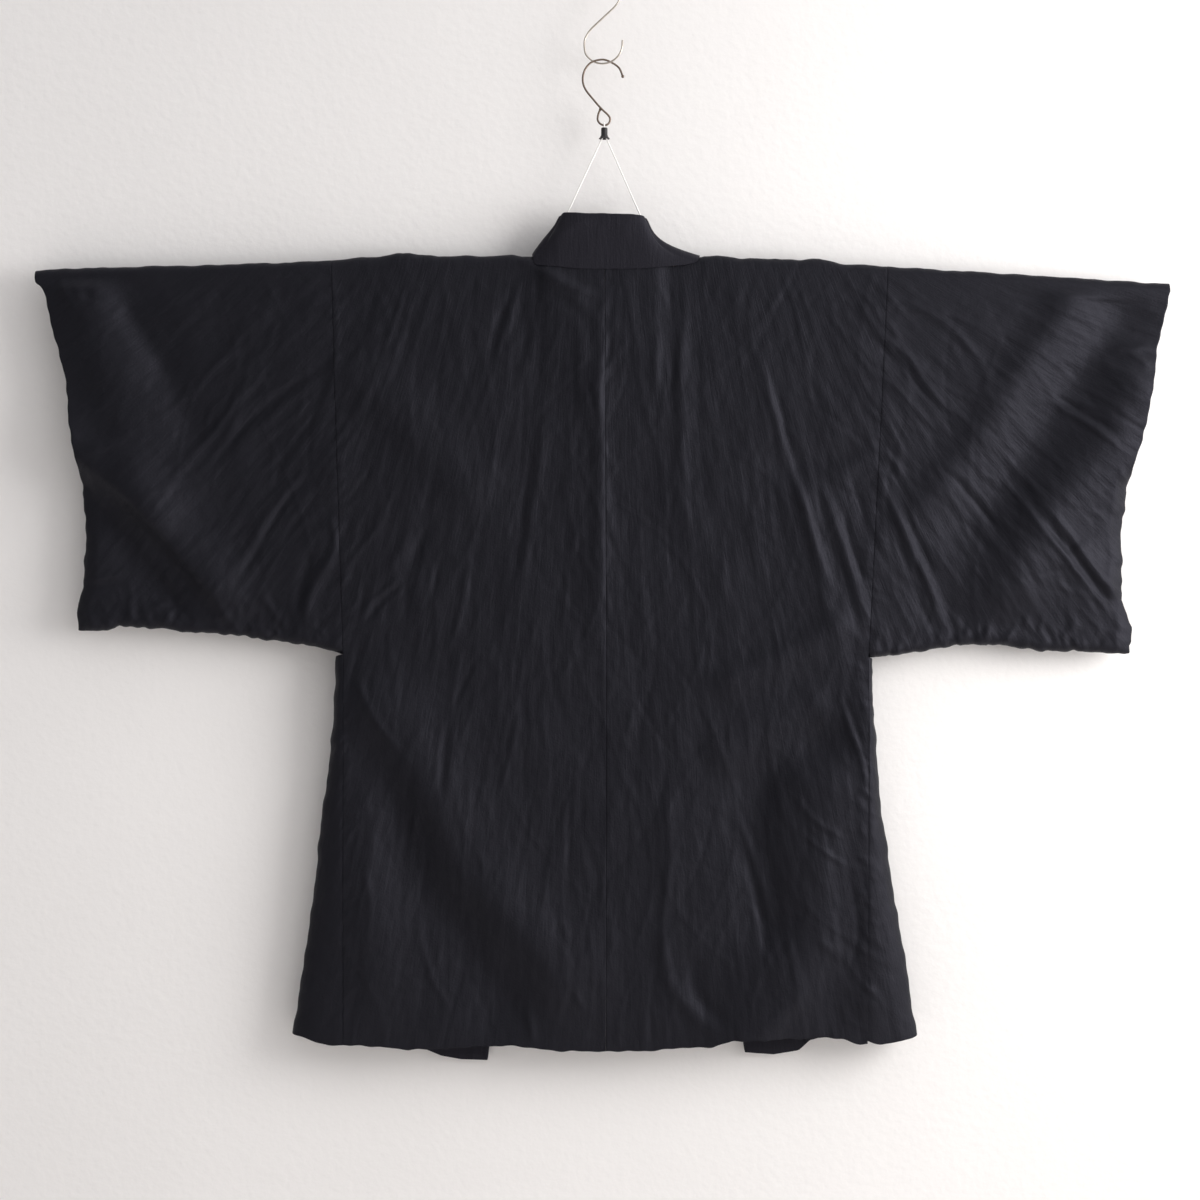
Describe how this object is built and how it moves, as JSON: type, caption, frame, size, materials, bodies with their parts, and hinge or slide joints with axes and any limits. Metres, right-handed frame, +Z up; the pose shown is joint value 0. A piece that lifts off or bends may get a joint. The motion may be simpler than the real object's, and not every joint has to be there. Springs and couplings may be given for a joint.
{
  "type": "haori jacket on a kimono hanger",
  "caption": "Plain black haori jacket with wide square sleeves and a folded collar band, spread flat on a rod hanger that hangs from a wire S-hook.",
  "frame": {"origin": "the underside of the upper crown of the S-hook, on the middle of its wire, where a rail carries the hanger and the jacket", "axes": "+Z up, +X along the rod towards the wearer's right sleeve, +Y out of the fronts; the back of the jacket faces -Y"},
  "size_m": [1.2614, 0.043, 1.2149],
  "materials": {
    "cloth": "matte black crepe with a faint sheen",
    "collar_cloth": "the same matte black crepe, folded double",
    "wood": "plain pale wood",
    "string": "thin white twisted cord",
    "ferrule": "black, satin",
    "hook_wire": "dull brown-grey steel wire",
    "s_hook_wire": "bright steel wire"
  },
  "bodies": {
    "root": {"body_left": "cloth", "body_right": "cloth", "sleeve_left": "cloth", "sleeve_right": "cloth", "gusset_left": "cloth", "gusset_right": "cloth", "collar": "collar_cloth", "hanger_rod": "wood", "string_left": "string", "string_right": "string", "string_bight": "string", "ferrule": "ferrule", "hanger_hook": "hook_wire", "s_hook": "s_hook_wire"}
  },
  "joints": []
}
